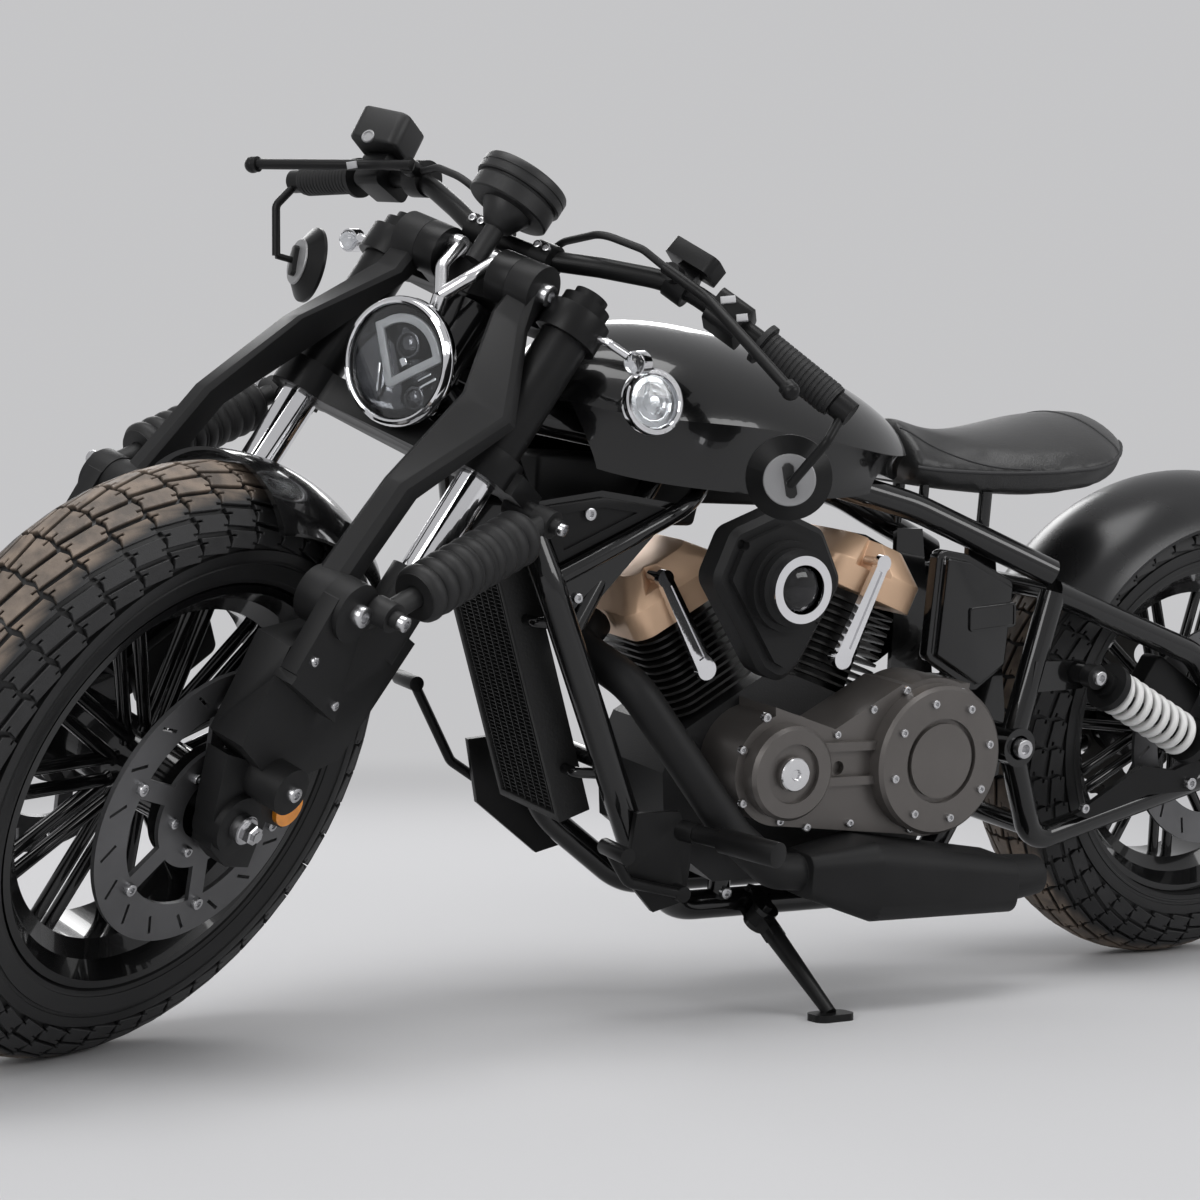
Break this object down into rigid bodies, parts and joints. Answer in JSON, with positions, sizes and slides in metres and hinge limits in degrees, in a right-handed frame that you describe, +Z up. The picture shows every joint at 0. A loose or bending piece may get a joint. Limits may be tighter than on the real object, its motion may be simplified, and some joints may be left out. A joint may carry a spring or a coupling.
{
  "type": "cruiser motorcycle",
  "caption": "Low solo-seat cruiser motorcycle with zigzag outer fork arms, V-twin engine and triangular swingarm, parked on its side stand with the steering on its left stop.",
  "frame": {"origin": "middle of the bounding box, on the ground", "axes": "-X towards the front wheel, -Y to the rider's left (the side it leans to), +Z up"},
  "size_m": [2.0724, 0.7233, 1.0352],
  "materials": {
    "amber_lens": "gloss",
    "black_plastic": "matte",
    "bright_steel": "satin",
    "cast_aluminium": "satin",
    "chrome": "polished",
    "clear_lens": "clear",
    "copper_paint": "satin",
    "dark_metal": "satin",
    "disc_steel": "satin",
    "gloss_black_paint": "gloss",
    "leather": "satin",
    "matte_black": "matte",
    "red_lens": "gloss",
    "rubber": "matte",
    "satin_black": "satin",
    "titanium_paint": "satin",
    "tyre": "matte",
    "white_spring": "gloss"
  },
  "bodies": {
    "chassis": {"frame": "gloss_black_paint", "cradle": "gloss_black_paint", "swingarm": "gloss_black_paint", "rear_axle": "bright_steel", "cylinders": "satin_black", "head_covers": "copper_paint", "crankcase": "dark_metal", "primary_cover": "titanium_paint", "right_cover": "titanium_paint", "rod_covers": "chrome", "air_cleaner": "matte_black", "air_ring": "chrome", "radiator": "satin_black", "exhaust": "matte_black", "tank": "gloss_black_paint", "tank_ornaments": "chrome", "seat": "leather", "side_covers": "gloss_black_paint", "rear_fender": "satin_black", "tail_lamp": "red_lens", "rear_shocks": "satin_black", "rear_springs": "white_spring", "shock_links": "satin_black", "drive_chain": "dark_metal", "foot_controls": "satin_black", "rear_caliper": "satin_black"},
    "rear_wheel": {"rear_rim": "gloss_black_paint", "rear_tyre": "tyre", "rear_disc": "disc_steel", "rear_sprocket": "dark_metal"},
    "side_stand": {"side_stand": "satin_black"},
    "steering": {"triple_clamps": "satin_black", "fork_arms": "matte_black", "fork_tubes": "satin_black", "stanchions": "chrome", "fork_legs": "matte_black", "front_axle": "bright_steel", "front_shocks": "rubber", "front_fender": "gloss_black_paint", "front_calipers": "satin_black", "handlebar": "satin_black", "grips": "rubber", "hand_controls": "satin_black", "brake_reservoir": "black_plastic", "cables": "rubber", "reflectors": "amber_lens", "mirrors": "satin_black", "front_indicators": "clear_lens", "headlight": "chrome", "headlight_glass": "clear_lens", "headlight_bracket": "cast_aluminium", "gauge": "black_plastic"},
    "front_wheel": {"front_rim": "gloss_black_paint", "front_tyre": "tyre", "front_disc": "disc_steel"}
  },
  "joints": [
    {"name": "steering", "type": "hinge", "parent": "chassis", "child": "steering", "pos_m": [-0.42046, -0.04091, 0.71952], "axis": [0.5182, -0.1334, 0.8448], "range_deg": [-64, 0]},
    {"name": "front_wheel_spin", "type": "hinge", "parent": "steering", "child": "front_wheel", "pos_m": [-0.74372, -0.01159, 0.29854], "axis": [-0.4539, 0.7943, 0.4038], "continuous": true},
    {"name": "rear_wheel_spin", "type": "hinge", "parent": "chassis", "child": "rear_wheel", "pos_m": [0.69727, 0.02452, 0.31205], "axis": [-0.0008, 0.9877, 0.1564], "continuous": true},
    {"name": "side_stand_fold", "type": "hinge", "parent": "chassis", "child": "side_stand", "pos_m": [-0.01168, -0.04109, 0.10266], "axis": [0.2047, -0.6221, 0.7557], "range_deg": [0, 78]}
  ]
}
